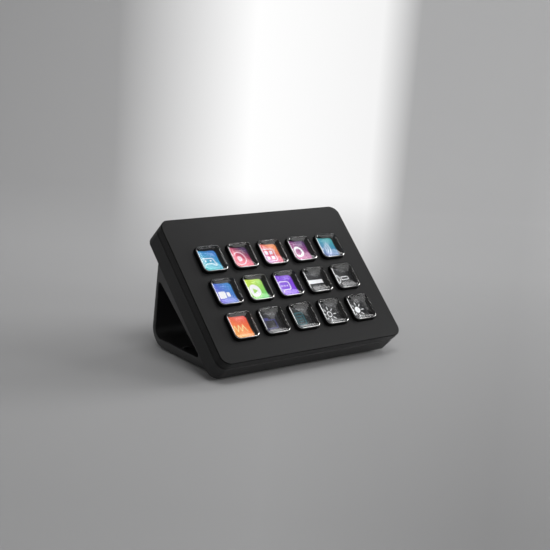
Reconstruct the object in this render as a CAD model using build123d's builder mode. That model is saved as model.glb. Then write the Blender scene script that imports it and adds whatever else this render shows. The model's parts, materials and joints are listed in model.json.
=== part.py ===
"""Desk key pad: fifteen clear picture keys over one display, on a slanted stand.

The pad is built on the tilted plane of its face, and the stand on an upright side plane.
Millimetres. +Z is up, +X runs across the pad, and the face looks towards -Y. The origin is on
the table, midway under the object. A level is a height above the face, so most are negative.
"""

import os
from math import cos, radians, sin, sqrt, tan

from build123d import *

# ---------------------------------------------------------------- keys
columns = 5
rows = 3
key_spacing = 19.54
cap_size = 15.0
cap_corner = 2.9
cap_proud = 2.2
cap_edge = 0.5
cap_rim = 1.2
cap_dish_depth = 0.55
cap_dish_taper = 63.0
cap_flange_lip = 1.1
cap_flange_thickness = 0.8
key_travel = 1.0
guide_clearance = 0.25
flange_clearance = 0.3

# ---------------------------------------------------------------- faceplate
side_border = 10.15
bottom_border = 9.33
top_border = 16.05
face_corner = 5.5
face_edge = 0.4
plate_thickness = 1.0
plate_hole_gap = 0.4
skirt_depth = 4.8
skirt_wall = 1.5
peg_width = 1.8
peg_length = 2.6
peg_clearance = 0.25
peg_rows = 3
peg_spacing = 27.0

# ---------------------------------------------------------------- case
seam_gap = 0.4
seam_chamfer = 0.25
side_depth = 15.0
case_wall = 2.4
case_floor = 2.0
heel_edge = 0.8
plate_seat_gap = 0.1
skirt_gap = 0.2
lip_thickness = 1.2
lip_depth = 2.0
lip_gap = 0.2
lock_lip = 0.8
block_depth = 7.3
block_side_inset = 8.0
block_top_inset = 8.0
block_bottom_inset = 19.0
block_corner = 7.0
block_edge = 0.8
block_draft = 4.0
block_wall = 2.0

# ---------------------------------------------------------------- display and its contacts
tile_size = 14.26
panel_side_border = 6.54
panel_bottom_border = 4.87
panel_top_border = 9.0
panel_thickness = 1.2
panel_clearance = 0.3
panel_rim_wall = 1.2
rib_thickness = 1.6
tray_thickness = 1.7
tray_rim = 0.9
film_thickness = 0.2
mat_thickness = 0.4
film_window_gap = 0.2
ring_wall = 0.55
ring_inset = 0.2
ribbon_width = 26.0
ribbon_thickness = 0.25
ribbon_bend = 1.5
ribbon_run = 6.0

# ---------------------------------------------------------------- board
board_thickness = 1.6
board_margin = 2.0
board_corner = 2.0
standoff_radius = 2.6
standoff_inset = 4.5
socket_width = 8.94
socket_height = 3.26
socket_length = 7.35
socket_wall = 0.3
tongue_width = 6.7
tongue_thickness = 0.7
tongue_length = 5.0
port_clearance = 0.3
port_recess_width = 12.8
port_recess_height = 6.2
port_recess_depth = 0.9
socket_setback = 0.4
connector_height = 1.5
connector_depth = 4.2
connector_below_middle = 1.5
capacitor_size = (2.0, 1.25, 0.9)
capacitor_place = (-20.0, -15.0)
capacitor_spacing = (4.0, 3.0)
capacitor_count = (6, 2)

# ---------------------------------------------------------------- screws
case_screw_radius = 1.1
case_screw_head_radius = 2.1
case_screw_head = 1.2
case_screw_inset = 9.0
case_screw_sink = 0.2
case_screw_length = 7.6
case_boss_radius = 2.0
boss_gap = 0.2
screw_clearance = 0.05
hole_clearance = 0.3
head_clearance = 0.2
pilot_end = 0.4
hidden_sides = 8
board_screw_radius = 1.0
board_screw_head_radius = 1.9
board_screw_head = 1.1
board_screw_length = 4.6

# ---------------------------------------------------------------- stand
tilt = 43.0
heel_clearance = 1.2
stand_width = 103.0
stand_gap = 0.2
stand_reach = 72.9
leg_lean = 3.4
leg_wall = 2.2
base_thickness = 4.4
foot_proud = 0.5
rest_thickness = 2.2
rest_wedge = 5.35
heel_round = 10.2
apex_round = 1.6
nose_round = 1.2
tunnel_heel_round = 5.0
tunnel_round = 1.2
stand_side_edge = 0.5
pocket_depth = 1.0
pocket_rim = 2.0
pocket_length = 17.0
foot_width = 84.0
foot_depth = 8.0
foot_recess = 0.8
foot_gap = 0.1
foot_edge = 9.0
lift_travel = 7.0
stud_spread = 28.0
stud_height = 55.0
stud_radius = 2.0
stud_head_radius = 3.7
stud_head_thickness = 1.4
stud_clearance = 0.3

# ---------------------------------------------------------------- worked out from the sizes above
face_width = columns * key_spacing + 2 * side_border
face_height = rows * key_spacing + bottom_border + top_border
grid_width = (columns - 1) * key_spacing
grid_height = (rows - 1) * key_spacing
grid_middle = bottom_border + rows * key_spacing / 2
plate_hole = cap_size + 2 * plate_hole_gap
plate_hole_corner = cap_corner + plate_hole_gap
flange_size = cap_size + 2 * cap_flange_lip
flange_corner = cap_corner + cap_flange_lip
dish_size = cap_size - 2 * cap_rim
dish_corner = cap_corner - cap_rim
flange_pocket = flange_size + 2 * flange_clearance

frame_top = -plate_thickness - plate_seat_gap
flange_top = frame_top - lock_lip
flange_bottom = flange_top - cap_flange_thickness
mat_top = flange_bottom - key_travel - plate_seat_gap
film_top = mat_top - mat_thickness
panel_top = film_top - film_thickness
tray_top = panel_top - panel_thickness
tray_bottom = tray_top - tray_thickness

panel_width = grid_width + tile_size + 2 * panel_side_border
panel_height = grid_height + tile_size + panel_bottom_border + panel_top_border
panel_middle = grid_middle + (panel_top_border - panel_bottom_border) / 2

rim_level = -skirt_depth - seam_gap
slab_width = face_width - 2 * (skirt_wall + skirt_gap)
slab_height = face_height - 2 * (skirt_wall + skirt_gap)
slab_corner = face_corner - skirt_wall
inner_width = face_width - 2 * case_wall
inner_height = face_height - 2 * case_wall
inner_corner = face_corner - case_wall / 2
rear_level = -side_depth
floor_level = rear_level + case_floor

block_level = rear_level - block_depth
block_width = face_width - 2 * block_side_inset
block_height = face_height - block_top_inset - block_bottom_inset
block_middle = (block_bottom_inset + face_height - block_top_inset) / 2
block_shrink = block_depth * tan(radians(block_draft))
block_floor = block_level + case_floor
cavity_width = block_width - 2 * (block_wall + block_shrink)
cavity_height = block_height - 2 * (block_wall + block_shrink)
cavity_corner = block_corner - block_wall

board_width = cavity_width - 2 * board_margin
board_height = cavity_height - 2 * board_margin
board_bottom = block_floor + socket_height + 2 * port_clearance
board_top = board_bottom + board_thickness
standoff_x = board_width / 2 - standoff_inset
standoff_y = board_height / 2 - standoff_inset
socket_middle = board_bottom - socket_height / 2
port_wall_top = face_height - block_top_inset - (rear_level - socket_middle) * tan(radians(block_draft))
socket_mouth = port_wall_top - port_recess_depth - socket_setback
port_height = socket_height + 2 * port_clearance
port_width = socket_width + 2 * port_clearance

screw_x = face_width / 2 - case_screw_inset
case_screw_margin = case_wall + case_boss_radius + boss_gap
head_seat = rear_level + case_screw_sink + case_screw_head
screw_tip = head_seat + case_screw_length
peg_x = (slab_width / 2 + (panel_width / 2 + panel_clearance)) / 2

# the face's lower edge, which the case's heel below it sets above the table
edge_lift = heel_clearance + side_depth * cos(radians(tilt)) - heel_edge * sin(radians(tilt))
edge_y = -(stand_reach + face_edge * sin(radians(tilt))) / 2

slope = (0, cos(radians(tilt)), sin(radians(tilt)))
normal = (0, -sin(radians(tilt)), cos(radians(tilt)))
face = Plane(origin=(0, edge_y, edge_lift), x_dir=(1, 0, 0), z_dir=normal)
side = Plane(origin=(0, edge_y, edge_lift), x_dir=slope, z_dir=(1, 0, 0))
upright = Plane(origin=(0, edge_y, 0), x_dir=(0, 1, 0), z_dir=(1, 0, 0))
depth_axis = Axis(face.origin, face.z_dir)


def on_face(x, height, level):
    """A plane parallel to the face, with its origin at this place on the pad."""
    return Plane(origin=face.from_local_coords((x, height, level)), x_dir=(1, 0, 0), z_dir=normal)


def key_middle(column, row):
    """Where a key's middle is on the face. Row 0 is the top row."""
    x = (column - (columns - 1) / 2) * key_spacing
    return x, grid_middle + ((rows - 1) / 2 - row) * key_spacing


def cut_rectangle(width, height, corner):
    """Draws a rectangle whose corners are cut close to round ones of this radius."""
    with BuildSketch(mode=Mode.PRIVATE) as outline:
        Rectangle(width, height)
        chamfer(outline.vertices(), corner * (2 - sqrt(2)))
    add(outline.sketch)


def hidden_round(radius):
    """Draws a round that is never seen, with few sides."""
    RegularPolygon(radius, hidden_sides)


def finish(block, name):
    """Names a finished piece and writes it."""
    block.part.label = name
    export_step(block.part, f"parts/{name}.step")


os.makedirs("parts", exist_ok=True)
key_places = [(column, row) for row in range(rows) for column in range(columns)]
screw_places = [
    (x, height)
    for height in (case_screw_margin, face_height - case_screw_margin)
    for x in (-screw_x, 0, screw_x)
]
peg_places = [
    (side_sign * peg_x, grid_middle + (index - (peg_rows - 1) / 2) * peg_spacing)
    for side_sign in (-1, 1)
    for index in range(peg_rows)
]

# ---------------------------------------------------------------- faceplate
with BuildPart() as faceplate:
    with BuildSketch(on_face(0, face_height / 2, 0)):
        RectangleRounded(face_width, face_height, face_corner)
    extrude(amount=-skirt_depth)
    chamfer(faceplate.faces().sort_by(depth_axis)[-1].edges(), face_edge)
    chamfer(faceplate.faces().sort_by(depth_axis)[0].outer_wire().edges(), seam_chamfer)
    with BuildSketch(on_face(0, face_height / 2, -plate_thickness)):
        RectangleRounded(face_width - 2 * skirt_wall, face_height - 2 * skirt_wall, slab_corner)
    extrude(amount=-skirt_depth, mode=Mode.SUBTRACT)
    with BuildSketch(on_face(0, grid_middle, 0)):
        with GridLocations(key_spacing, key_spacing, columns, rows):
            RectangleRounded(plate_hole, plate_hole, plate_hole_corner)
    extrude(amount=-plate_thickness, mode=Mode.SUBTRACT)
    with BuildSketch(on_face(0, 0, -plate_thickness)):
        with Locations(*peg_places):
            Rectangle(peg_width, peg_width)
    extrude(amount=-peg_length)
finish(faceplate, "faceplate")

# ---------------------------------------------------------------- key caps
for column, row in key_places:
    key_x, key_height = key_middle(column, row)
    with BuildPart() as key_cap:
        with BuildSketch(on_face(key_x, key_height, flange_bottom)):
            RectangleRounded(cap_size, cap_size, cap_corner)
        extrude(amount=cap_proud - flange_bottom)
        chamfer(key_cap.faces().sort_by(depth_axis)[-1].edges(), cap_edge)
        with BuildSketch(on_face(key_x, key_height, cap_proud)):
            cut_rectangle(dish_size, dish_size, dish_corner)
        extrude(amount=-cap_dish_depth, taper=cap_dish_taper, mode=Mode.SUBTRACT)
        with BuildSketch(on_face(key_x, key_height, flange_bottom)):
            cut_rectangle(flange_size, flange_size, flange_corner)
        extrude(amount=cap_flange_thickness)
    finish(key_cap, f"key_cap_row{row + 1}_col{column + 1}")

# ---------------------------------------------------------------- key frame
with BuildPart() as key_frame:
    with BuildSketch(on_face(0, face_height / 2, frame_top)):
        RectangleRounded(slab_width, slab_height, slab_corner - skirt_gap)
    extrude(amount=rim_level - frame_top)
    with BuildSketch(on_face(0, face_height / 2, rim_level)):
        RectangleRounded(inner_width - 2 * lip_gap, inner_height - 2 * lip_gap, inner_corner)
        offset(amount=-lip_thickness, mode=Mode.SUBTRACT)
    extrude(amount=-lip_depth)
    with BuildSketch(on_face(0, panel_middle, rim_level)):
        rim_width = panel_width + 2 * (panel_clearance + panel_rim_wall)
        Rectangle(rim_width, panel_height + 2 * (panel_clearance + panel_rim_wall))
    extrude(amount=tray_bottom + tray_rim - rim_level)
    with BuildSketch(on_face(0, panel_middle, mat_top)):
        Rectangle(panel_width + 2 * panel_clearance, panel_height + 2 * panel_clearance)
    extrude(amount=tray_bottom - mat_top, mode=Mode.SUBTRACT)
    with BuildSketch(on_face(0, grid_middle, frame_top)):
        with GridLocations(key_spacing, key_spacing, columns, rows):
            guide_hole = cap_size + 2 * guide_clearance
            cut_rectangle(guide_hole, guide_hole, cap_corner)
    extrude(amount=-lock_lip, mode=Mode.SUBTRACT)
    with BuildSketch(on_face(0, grid_middle, flange_top)):
        with GridLocations(key_spacing, key_spacing, columns, rows):
            cut_rectangle(flange_pocket, flange_pocket, flange_corner + flange_clearance)
    extrude(amount=mat_top - flange_top, mode=Mode.SUBTRACT)
    with BuildSketch(on_face(0, 0, rim_level)):
        with Locations(*screw_places):
            hidden_round(case_boss_radius)
    extrude(amount=floor_level - rim_level)
    with BuildSketch(on_face(0, 0, floor_level)):
        with Locations(*screw_places):
            hidden_round(case_screw_radius + screw_clearance)
    extrude(amount=screw_tip + pilot_end - floor_level, mode=Mode.SUBTRACT)
    with BuildSketch(on_face(0, 0, frame_top)):
        with Locations(*peg_places):
            Rectangle(peg_width + 2 * peg_clearance, peg_width + 2 * peg_clearance)
    extrude(amount=-peg_length - peg_clearance, mode=Mode.SUBTRACT)
finish(key_frame, "key_frame")

# ---------------------------------------------------------------- dome mat: a wall under each flange
ring_outer = flange_size - 2 * ring_inset
with BuildPart() as dome_mat:
    with BuildSketch(on_face(0, panel_middle, film_top)):
        Rectangle(panel_width, panel_height)
    extrude(amount=mat_thickness)
    with BuildSketch(on_face(0, grid_middle, mat_top)):
        with GridLocations(key_spacing, key_spacing, columns, rows):
            cut_rectangle(ring_outer, ring_outer, flange_corner - ring_inset)
    extrude(amount=flange_bottom - mat_top)
    with BuildSketch(on_face(0, grid_middle, flange_bottom)):
        with GridLocations(key_spacing, key_spacing, columns, rows):
            ring_inner = ring_outer - 2 * ring_wall
            cut_rectangle(ring_inner, ring_inner, flange_corner - ring_inset - ring_wall)
    extrude(amount=film_top - flange_bottom, mode=Mode.SUBTRACT)
finish(dome_mat, "dome_mat")

# ---------------------------------------------------------------- contact film
with BuildPart() as contact_film:
    with BuildSketch(on_face(0, panel_middle, panel_top)):
        Rectangle(panel_width, panel_height)
        with Locations((0, grid_middle - panel_middle)):
            with GridLocations(key_spacing, key_spacing, columns, rows):
                film_window = tile_size + 2 * film_window_gap
                Rectangle(film_window, film_window, mode=Mode.SUBTRACT)
    extrude(amount=film_thickness)
finish(contact_film, "contact_film")

# ---------------------------------------------------------------- display
with BuildPart() as display_glass:
    with BuildSketch(on_face(0, panel_middle, tray_top)):
        Rectangle(panel_width, panel_height)
    extrude(amount=panel_thickness)
finish(display_glass, "display_glass")

with BuildPart() as display_tray:
    with BuildSketch(on_face(0, panel_middle, tray_bottom)):
        Rectangle(panel_width, panel_height)
    extrude(amount=tray_thickness)
    chamfer(display_tray.faces().sort_by(depth_axis)[0].edges(), tray_rim / 2)
finish(display_tray, "display_tray")

# the ribbon lies on the tray's back and steps down to its connector on the board
connector_level = board_top + connector_height / 2
connector_middle = block_middle - connector_below_middle
connector_end = connector_middle + connector_depth / 2
ribbon_level = tray_bottom - ribbon_thickness / 2
with BuildPart() as display_ribbon:
    with BuildSketch(side):
        with BuildLine() as ribbon_path:
            FilletPolyline(
                (connector_end, connector_level),
                (connector_end + ribbon_run, connector_level),
                (connector_end + 2 * ribbon_run, ribbon_level),
                (connector_end + 3 * ribbon_run, ribbon_level),
                radius=ribbon_bend,
            )
        trace(line_width=ribbon_thickness)
    extrude(amount=ribbon_width / 2, both=True)
finish(display_ribbon, "display_ribbon")

# ---------------------------------------------------------------- main board
with BuildPart() as main_board:
    with BuildSketch(on_face(0, block_middle, board_bottom)):
        RectangleRounded(board_width, board_height, board_corner)
        with GridLocations(2 * standoff_x, 2 * standoff_y, 2, 2):
            RegularPolygon(board_screw_radius + hole_clearance, hidden_sides, mode=Mode.SUBTRACT)
    extrude(amount=board_thickness)
finish(main_board, "main_board")

# chips, coils and capacitors, each as (x, height from the board's middle, width, depth, thickness)
board_part_sizes = [
    (-28.0, 4.0, 12.0, 12.0, 1.4),
    (8.0, -13.0, 8.0, 6.0, 1.0),
    (26.0, 12.0, 5.0, 5.0, 2.8),
    (26.0, 4.0, 5.0, 5.0, 1.2),
    (-28.0, -9.0, 3.2, 2.5, 0.8),
]
with BuildPart() as board_parts:
    for x, height, width, depth, thickness in board_part_sizes:
        with BuildSketch(on_face(x, block_middle + height, board_top)):
            Rectangle(width, depth)
        extrude(amount=thickness)
    capacitors_x, capacitors_height = capacitor_place
    with BuildSketch(on_face(capacitors_x, block_middle + capacitors_height, board_top)):
        with GridLocations(*capacitor_spacing, *capacitor_count):
            Rectangle(capacitor_size[0], capacitor_size[1])
    extrude(amount=capacitor_size[2])
    with BuildSketch(on_face(0, connector_middle, board_top)):
        Rectangle(ribbon_width + 2 * connector_height, connector_depth)
    extrude(amount=connector_height)
finish(board_parts, "board_parts")

# ---------------------------------------------------------------- cable socket
mouth = Plane(
    origin=face.from_local_coords((0, socket_mouth, socket_middle)), x_dir=(1, 0, 0), z_dir=slope
)
with BuildPart() as socket_shell:
    with BuildSketch(mouth):
        SlotOverall(socket_width, socket_height)
    extrude(amount=-socket_length)
    with BuildSketch(mouth):
        SlotOverall(socket_width - 2 * socket_wall, socket_height - 2 * socket_wall)
    extrude(amount=socket_wall - socket_length, mode=Mode.SUBTRACT)
finish(socket_shell, "socket_shell")

with BuildPart() as socket_tongue:
    with BuildSketch(mouth.offset(socket_wall - socket_length)):
        Rectangle(tongue_width, tongue_thickness)
    extrude(amount=tongue_length)
finish(socket_tongue, "socket_tongue")

# ---------------------------------------------------------------- rear case
with BuildPart() as rear_case:
    with BuildSketch(on_face(0, face_height / 2, rim_level)):
        RectangleRounded(face_width, face_height, face_corner)
    extrude(amount=rear_level - rim_level)
    chamfer(rear_case.faces().sort_by(depth_axis)[-1].edges(), seam_chamfer)
    chamfer(rear_case.faces().sort_by(depth_axis)[0].edges(), heel_edge)
    with BuildSketch(on_face(0, block_middle, rear_level)):
        RectangleRounded(block_width, block_height, block_corner)
    extrude(amount=-block_depth, taper=block_draft)
    chamfer(rear_case.faces().sort_by(depth_axis)[0].edges(), block_edge)
    # the hollow of the tray and of the block
    with BuildSketch(on_face(0, face_height / 2, rim_level)):
        cut_rectangle(inner_width, inner_height, inner_corner)
    extrude(amount=floor_level - rim_level, mode=Mode.SUBTRACT)
    with BuildSketch(on_face(0, block_middle, floor_level)):
        cut_rectangle(cavity_width, cavity_height, cavity_corner)
    extrude(amount=block_floor - floor_level, mode=Mode.SUBTRACT)
    # ribs that hold the display up against the key frame
    with BuildSketch(on_face(0, block_middle, floor_level)):
        for rib_side in (-1, 1):
            with Locations((rib_side * (cavity_width + panel_width) / 4, 0)):
                Rectangle(rib_thickness, cavity_height)
        with Locations((0, (panel_middle - panel_height / 2 - block_middle - cavity_height / 2) / 2)):
            Rectangle(cavity_width, rib_thickness)
    extrude(amount=tray_bottom - floor_level)
    # standoffs under the board
    with BuildSketch(on_face(0, block_middle, block_floor)):
        with GridLocations(2 * standoff_x, 2 * standoff_y, 2, 2):
            hidden_round(standoff_radius)
    extrude(amount=board_bottom - block_floor)
    with BuildSketch(on_face(0, block_middle, board_bottom)):
        with GridLocations(2 * standoff_x, 2 * standoff_y, 2, 2):
            hidden_round(board_screw_radius + screw_clearance)
    extrude(amount=block_floor - board_bottom, mode=Mode.SUBTRACT)
    # screw holes, sunk from behind
    with BuildSketch(on_face(0, 0, rear_level)):
        with Locations(*screw_places):
            Circle(case_screw_head_radius + head_clearance)
    extrude(amount=head_seat - rear_level, mode=Mode.SUBTRACT)
    with BuildSketch(on_face(0, 0, rear_level)):
        with Locations(*screw_places):
            hidden_round(case_screw_radius + hole_clearance)
    extrude(amount=case_floor, mode=Mode.SUBTRACT)
    # cable port through the block's top wall, with a shallow recess round it
    with BuildSketch(mouth.offset(-socket_setback - block_wall)):
        SlotOverall(port_width, port_height)
    extrude(amount=2 * block_wall + port_recess_depth, mode=Mode.SUBTRACT)
    with BuildSketch(mouth.offset(socket_setback)):
        SlotOverall(port_recess_width, port_recess_height)
    extrude(amount=block_wall, mode=Mode.SUBTRACT)
    # keyholes that hang the pad on the stand's two studs
    with BuildSketch(on_face(0, stud_height, block_level)):
        for stud_side in (-1, 1):
            with Locations((stud_side * stud_spread, -lift_travel)):
                Circle(stud_head_radius + stud_clearance)
            with Locations((stud_side * stud_spread, -lift_travel / 2)):
                slot_width = 2 * (stud_radius + stud_clearance)
                SlotCenterToCenter(lift_travel, slot_width, rotation=90)
    extrude(amount=case_floor, mode=Mode.SUBTRACT)
finish(rear_case, "rear_case")

# ---------------------------------------------------------------- screws
with BuildPart() as case_screws:
    with BuildSketch(on_face(0, 0, head_seat - case_screw_head)):
        with Locations(*screw_places):
            Circle(case_screw_head_radius)
    extrude(amount=case_screw_head)
    with BuildSketch(on_face(0, 0, head_seat)):
        with Locations(*screw_places):
            hidden_round(case_screw_radius)
    extrude(amount=case_screw_length)
finish(case_screws, "case_screws")

with BuildPart() as board_screws:
    with BuildSketch(on_face(0, block_middle, board_top)):
        with GridLocations(2 * standoff_x, 2 * standoff_y, 2, 2):
            hidden_round(board_screw_head_radius)
    extrude(amount=board_screw_head)
    with BuildSketch(on_face(0, block_middle, board_top)):
        with GridLocations(2 * standoff_x, 2 * standoff_y, 2, 2):
            hidden_round(board_screw_radius)
    extrude(amount=-board_screw_length)
finish(board_screws, "board_screws")

# ---------------------------------------------------------------- stand
rest_level = block_level - stand_gap
tongue_level = rear_level - stand_gap
base_bottom = foot_proud
base_top = base_bottom + base_thickness
lean = radians(leg_lean)
inner_slope = tan(radians(tilt - rest_wedge))


def slope_y(z, level):
    """How far back a level of the tilted pad lies at this height above the table."""
    angle = radians(tilt)
    return ((z - edge_lift) * cos(angle) - level) / sin(angle)


# outside: under the pad, back to the heel, up the leaning leg and down the sloping rest
heel_y = stand_reach + heel_round * ((1 + sin(lean)) / cos(lean) - 1)
apex_z = (
    heel_y
    + base_bottom * tan(lean)
    + (edge_lift * cos(radians(tilt)) + rest_level) / sin(radians(tilt))
) / (1 / tan(radians(tilt)) + tan(lean))
rest_foot_y = slope_y(base_top, rest_level)
# tunnel: its front wall is a little less steep than the rest, so the rest thickens upwards
wall_y = slope_y(base_top, rest_level) + rest_thickness / sin(radians(tilt - rest_wedge))
leg_y = heel_y - leg_wall / cos(lean) - base_thickness * tan(lean)
tunnel_top_y = (leg_y + wall_y * inner_slope * tan(lean)) / (1 + inner_slope * tan(lean))
tunnel_top_z = base_top + (tunnel_top_y - wall_y) * inner_slope
front_foot_y = slope_y(base_bottom, tongue_level) + foot_edge
rear_foot_y = stand_reach - heel_round - foot_depth / 2

with BuildPart() as stand_shell:
    with BuildSketch(upright):
        with BuildLine():
            FilletPolyline(
                (slope_y(base_bottom, tongue_level), base_bottom),
                (heel_y, base_bottom),
                (slope_y(apex_z, rest_level), apex_z),
                (rest_foot_y, base_top),
                (slope_y(base_top, tongue_level), base_top),
                radius=[nose_round, heel_round, apex_round, tunnel_round, nose_round / 2],
                close=True,
            )
        make_face()
        with BuildLine():
            FilletPolyline(
                (wall_y, base_top),
                (leg_y, base_top),
                (tunnel_top_y, tunnel_top_z),
                radius=[tunnel_round, tunnel_heel_round, tunnel_round],
                close=True,
            )
        make_face(mode=Mode.SUBTRACT)
    extrude(amount=stand_width / 2, both=True)
    flanks = stand_shell.faces().filter_by(Axis.X).group_by(Axis.X)
    for flank in (flanks[0], flanks[-1]):
        chamfer(flank.edges(), stand_side_edge)
    # a shallow tray in the base, inside a rim
    with BuildSketch(Plane(origin=(0, edge_y + wall_y + pocket_rim + pocket_length / 2, base_top))):
        RectangleRounded(stand_width - 2 * pocket_rim, pocket_length, pocket_rim)
    extrude(amount=-pocket_depth, mode=Mode.SUBTRACT)
    # seats of the two rubber feet
    with BuildSketch(Plane(origin=(0, edge_y, base_bottom))):
        with Locations((0, front_foot_y), (0, rear_foot_y)):
            SlotOverall(foot_width, foot_depth)
    extrude(amount=foot_recess, mode=Mode.SUBTRACT)
    # studs that the pad hangs on
    with BuildSketch(on_face(0, stud_height, rest_level - stand_gap)):
        with GridLocations(2 * stud_spread, 0, 2, 1):
            Circle(stud_radius)
    extrude(amount=block_floor + 2 * stand_gap - rest_level)
    with BuildSketch(on_face(0, stud_height, block_floor + stand_gap)):
        with GridLocations(2 * stud_spread, 0, 2, 1):
            Circle(stud_head_radius)
    extrude(amount=stud_head_thickness)
finish(stand_shell, "stand_shell")

for foot_name, foot_y in (("front_foot", front_foot_y), ("rear_foot", rear_foot_y)):
    with BuildPart() as rubber_foot:
        with BuildSketch(Plane(origin=(0, edge_y + foot_y, 0))):
            SlotOverall(foot_width - 2 * foot_gap, foot_depth - 2 * foot_gap)
        extrude(amount=foot_proud + foot_recess)
    finish(rubber_foot, foot_name)
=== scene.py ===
"""Studio scene of a slanted desk key pad with clear picture keys.

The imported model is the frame: places and sizes are read from its nodes and joints, and every other
length is a named value in metres. A face coordinate is (x across, v up the slope, n out of the face).
HAIR is the least distance that tells two levels apart, and a face whose normal has a part over FLAT
along an axis lies square to it.
"""

import json
import logging
import math
from dataclasses import dataclass, field
from enum import Enum
from typing import Callable, ClassVar, Iterable, Protocol, Sequence

import bmesh
import bpy
from mathutils import Matrix, Vector


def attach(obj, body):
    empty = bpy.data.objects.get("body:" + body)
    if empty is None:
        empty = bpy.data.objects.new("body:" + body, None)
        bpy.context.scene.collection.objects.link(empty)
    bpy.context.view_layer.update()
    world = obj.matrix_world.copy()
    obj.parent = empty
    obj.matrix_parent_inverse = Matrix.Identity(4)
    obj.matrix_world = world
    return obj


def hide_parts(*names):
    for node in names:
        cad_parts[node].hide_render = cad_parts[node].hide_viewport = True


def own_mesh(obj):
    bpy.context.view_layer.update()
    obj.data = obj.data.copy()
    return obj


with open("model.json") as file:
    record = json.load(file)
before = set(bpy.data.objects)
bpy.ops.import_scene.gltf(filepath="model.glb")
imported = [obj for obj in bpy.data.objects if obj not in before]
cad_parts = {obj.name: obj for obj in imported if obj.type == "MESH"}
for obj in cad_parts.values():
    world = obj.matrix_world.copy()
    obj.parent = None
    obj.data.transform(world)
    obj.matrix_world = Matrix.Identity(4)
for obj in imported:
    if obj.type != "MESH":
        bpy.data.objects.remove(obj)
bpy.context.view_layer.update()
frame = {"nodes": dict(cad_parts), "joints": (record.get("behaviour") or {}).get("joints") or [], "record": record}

MM = 0.001
HAIR = 0.01 * MM
FLAT = 0.99
BLACK = (0.0, 0.0, 0.0)
WHITE = (1.0, 1.0, 1.0)
Colour = tuple[float, float, float]
Pair = tuple[float, float]
Socket = bpy.types.NodeSocket
Test = Callable[[Vector, Vector], bool]

log = logging.getLogger("key_pad")


# ------------------------------------------------------------------------------------- the frame
class Bodies(str, Enum):
    """The rigid bodies that pieces ride on, apart from the keys' own."""

    STAND = "stand"
    PAD = "pad"
    FACEPLATE = "faceplate"


@dataclass(frozen=True)
class TiltedFace:
    """The pad's face: its directions and the middle of its lower edge, in the row frame."""

    across: Vector
    slope: Vector
    normal: Vector
    origin: Vector

    @classmethod
    def from_frame(cls) -> "TiltedFace":
        """Reads the face's directions from the joints and its place from the faceplate.

        Returns:
            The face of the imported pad.
        """
        axes = {joint["name"]: Vector(joint["axis"]).normalized() for joint in frame["joints"]}
        slope, normal = axes["pad_lift"], axes["faceplate_lift"]
        corners = [vertex.co for vertex in frame["nodes"]["faceplate"].data.vertices]
        low = min(point.dot(slope) for point in corners)
        top = max(point.dot(normal) for point in corners)
        return cls(slope.cross(normal), slope, normal, slope * low + normal * top)

    def matrix(self, x: float = 0.0, v: float = 0.0, n: float = 0.0) -> Matrix:
        """Gives the placing of a piece that is modelled flat, about its own middle.

        Args:
            x: Distance across the face from its middle.
            v: Distance up the slope from the lower edge.
            n: Height above the face.

        Returns:
            The matrix from the piece's flat coordinates to the row frame.
        """
        place = self.origin + self.across * x + self.slope * v + self.normal * n
        turned = Matrix((self.across, self.slope, self.normal)).transposed().to_4x4()
        return Matrix.Translation(place) @ turned

    def points(self, node: str) -> list[Vector]:
        """Lists a node's vertices in face coordinates.

        Args:
            node: The CAD node's name.

        Returns:
            One (x, v, n) vector for each vertex.
        """
        back = self.matrix().inverted()
        return [back @ vertex.co for vertex in frame["nodes"][node].data.vertices]


@dataclass(frozen=True)
class Span:
    """The lowest and highest value of one coordinate."""

    low: float
    high: float

    @classmethod
    def of(cls, values: Iterable[float]) -> "Span":
        """Takes the span of some values."""
        listed = list(values)
        return cls(min(listed), max(listed))

    @property
    def size(self) -> float:
        """How far apart the two ends are."""
        return self.high - self.low

    @property
    def middle(self) -> float:
        """Halfway between the two ends."""
        return (self.low + self.high) / 2


# ------------------------------------------------------------------------------------- the bench
class Kind(Enum):
    """What a selection picks, with Blender's select mode for it."""

    VERTICES = (True, False, False)
    EDGES = (False, True, False)
    FACES = (False, False, True)


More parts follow.
